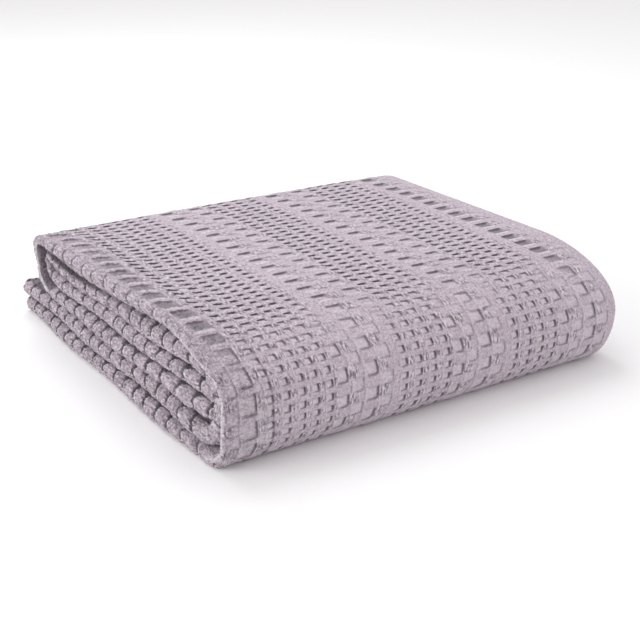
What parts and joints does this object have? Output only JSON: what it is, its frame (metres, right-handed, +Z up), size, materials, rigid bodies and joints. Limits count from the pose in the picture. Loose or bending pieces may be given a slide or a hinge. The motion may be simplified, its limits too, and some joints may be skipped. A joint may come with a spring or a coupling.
{
  "type": "folded pique blanket",
  "caption": "Woven cotton pique blanket, laid in four across its width and rolled in thirds into a soft block with a large round front fold and plump folded edges on its left side.",
  "frame": {"origin": "on the floor under the middle of the folded blanket", "axes": "+Z up; +X along the large round front fold, to the right; +Y from that fold to the back"},
  "size_m": [0.4376, 0.433, 0.1079],
  "materials": {
    "pique_cotton": "matt cotton pique weave, mauve grey"
  },
  "bodies": {
    "root": {"folded_blanket": "pique_cotton"}
  },
  "joints": []
}
